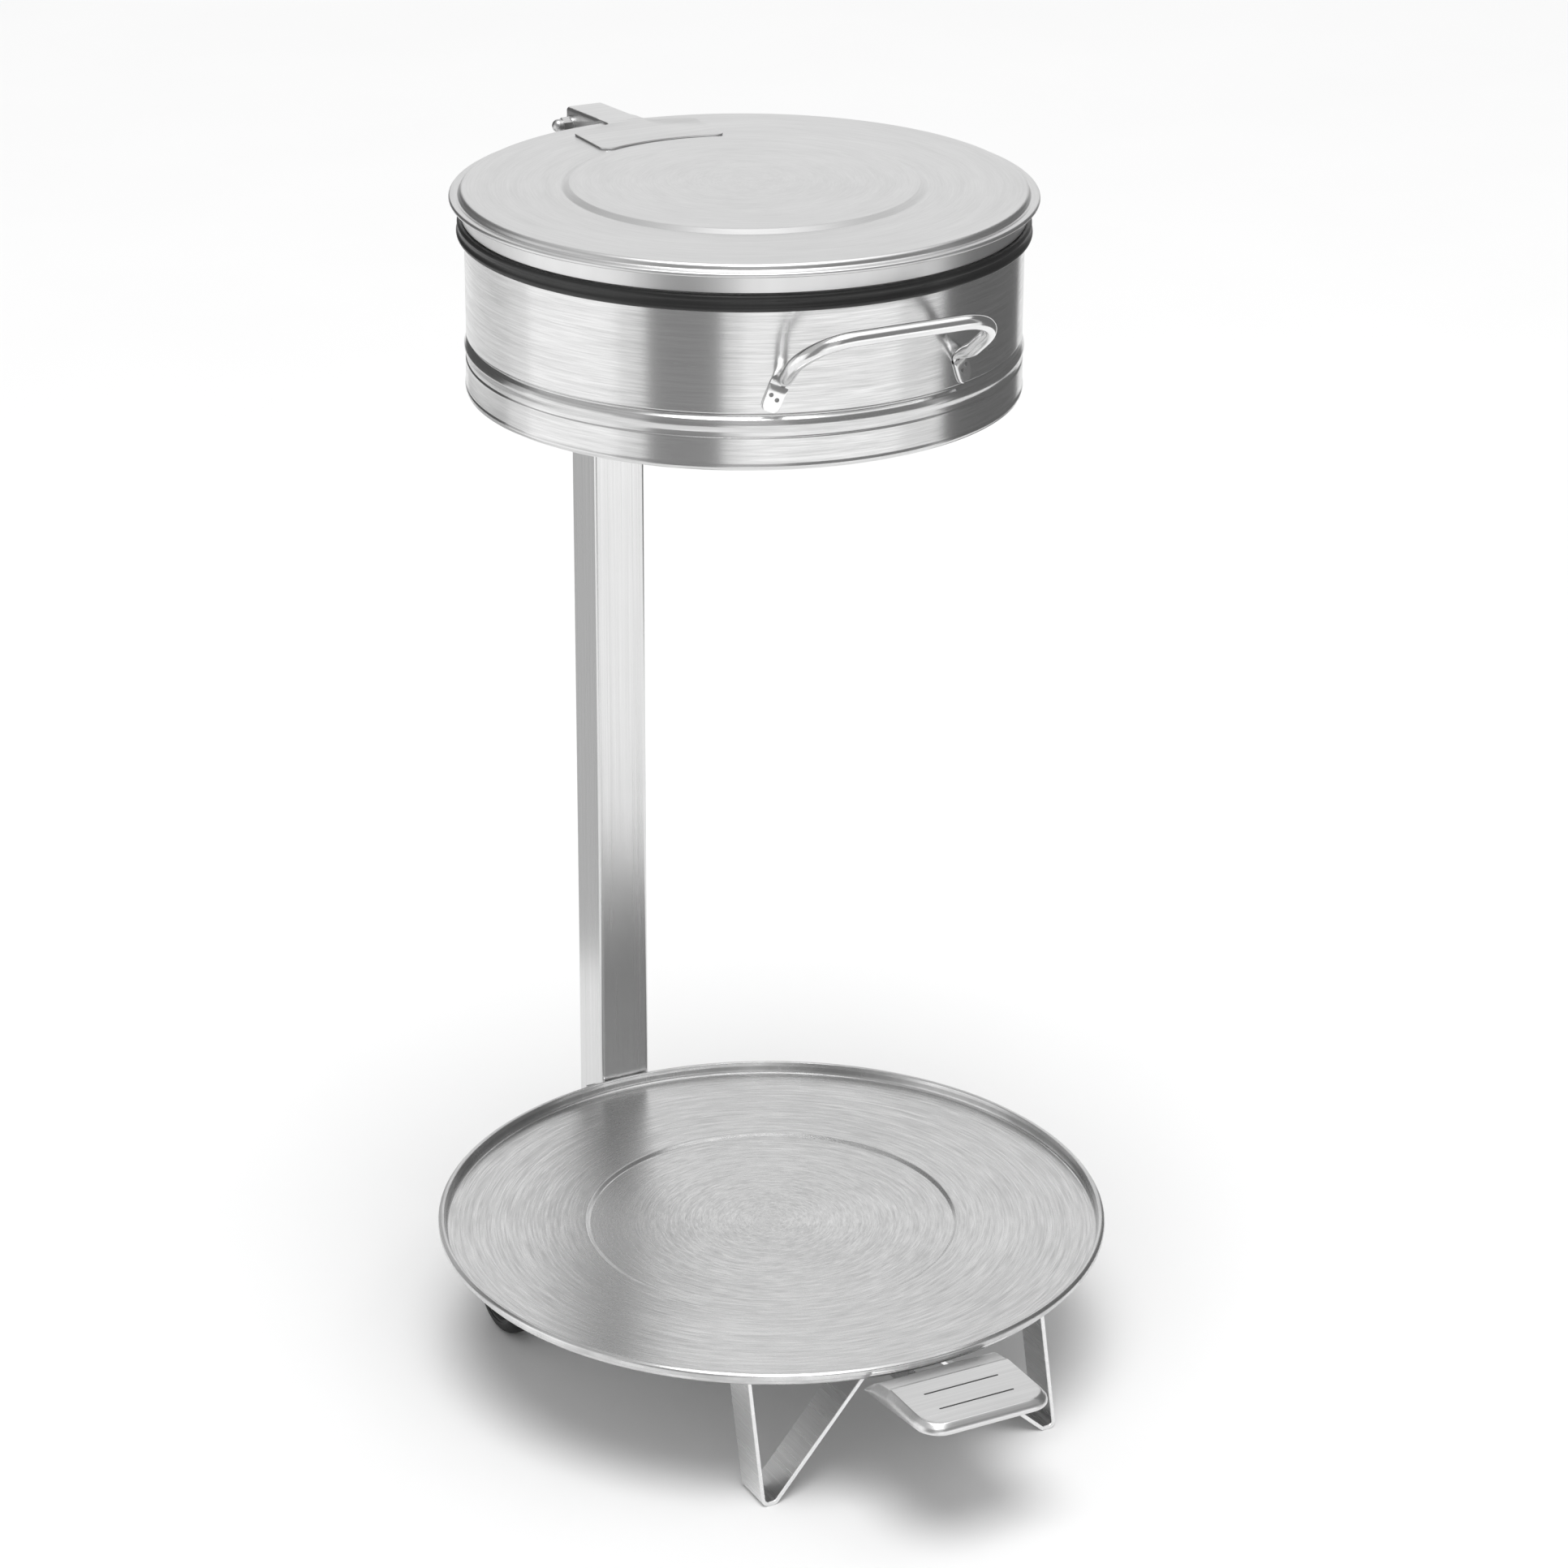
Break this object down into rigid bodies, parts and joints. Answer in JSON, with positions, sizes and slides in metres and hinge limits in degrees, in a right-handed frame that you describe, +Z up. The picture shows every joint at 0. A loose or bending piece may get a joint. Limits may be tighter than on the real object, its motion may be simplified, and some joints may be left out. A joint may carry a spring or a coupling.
{
  "type": "pedal sack holder",
  "caption": "Free-standing stainless pedal sack holder: round base plate on a bent foot and rear wheels, square column, open collar with a rubber ring and handle, hinged round lid.",
  "frame": {"origin": "on the floor, under the middle of the stand's overall length and width", "axes": "+Z up from the floor, -Y towards the pedal and handle, +Y towards the column, +X to the right of someone who stands in front of the pedal and faces the column"},
  "size_m": [0.48, 0.6104, 0.8537],
  "materials": {
    "stainless": "straight-brushed stainless steel",
    "spun_stainless": "stainless steel brushed in rings",
    "plain_steel": "bright plain steel",
    "ring_rubber": "smooth black rubber",
    "tyre_rubber": "matt dark rubber",
    "black_plastic": "moulded black plastic"
  },
  "bodies": {
    "stand": {"base_plate": "spun_stainless", "front_foot": "stainless", "rail_left": "plain_steel", "rail_right": "plain_steel", "column": "stainless", "column_cap": "plain_steel", "hinge_lug_left": "plain_steel", "hinge_lug_right": "plain_steel", "rod_guide": "black_plastic", "collar": "stainless", "collar_spacer": "plain_steel", "collar_bolt_upper": "plain_steel", "collar_bolt_lower": "plain_steel", "bag_ring": "ring_rubber", "handle": "stainless", "pivot_pin": "plain_steel", "pivot_clip_left": "plain_steel", "pivot_clip_right": "plain_steel", "wheel_bracket_left": "plain_steel", "wheel_bracket_right": "plain_steel", "axle_left": "plain_steel", "axle_right": "plain_steel", "axle_nut_left": "plain_steel", "axle_nut_right": "plain_steel"},
    "lid": {"lid_disc": "spun_stainless", "lid_skirt": "stainless", "hinge_bracket": "stainless", "bracket_rivet_left": "plain_steel", "bracket_rivet_right": "plain_steel", "lift_pin": "plain_steel", "hinge_bolt": "plain_steel", "washer_left": "plain_steel", "washer_right": "plain_steel", "acorn_nut": "plain_steel"},
    "pedal": {"lever": "plain_steel", "lever_bush": "black_plastic", "pedal": "stainless", "pedal_rivet_front": "plain_steel", "pedal_rivet_rear": "plain_steel"},
    "lift_rod": {"push_rod": "plain_steel", "push_head": "plain_steel", "rod_foot": "black_plastic"},
    "wheel_left": {"tyre_left": "tyre_rubber", "hub_left": "black_plastic"},
    "wheel_right": {"tyre_right": "tyre_rubber", "hub_right": "black_plastic"}
  },
  "joints": [
    {"name": "lid_hinge", "type": "hinge", "parent": "stand", "child": "lid", "pos_m": [0, 0.29825, 0.838], "axis": [-1, 0, 0], "range_deg": [0, 70]},
    {"name": "rod_slide", "type": "slide", "parent": "stand", "child": "lift_rod", "axis": [0, 0, 1], "range_m": [0, 0.0175]},
    {"name": "pedal_hinge", "type": "hinge", "parent": "stand", "child": "pedal", "pos_m": [0, 0.08775, 0.067], "axis": [1, 0, 0], "range_deg": [0, 5.4]},
    {"name": "wheel_left_spin", "type": "hinge", "parent": "stand", "child": "wheel_left", "pos_m": [-0.166, 0.10875, 0.0375], "axis": [1, 0, 0], "continuous": true},
    {"name": "wheel_right_spin", "type": "hinge", "parent": "stand", "child": "wheel_right", "pos_m": [0.166, 0.10875, 0.0375], "axis": [1, 0, 0], "continuous": true}
  ],
  "couplings": [
    {"joint": "rod_slide", "follows": "lid_hinge", "m_per_rad": 0.01424},
    {"joint": "pedal_hinge", "follows": "lid_hinge", "ratio": 0.0769}
  ]
}
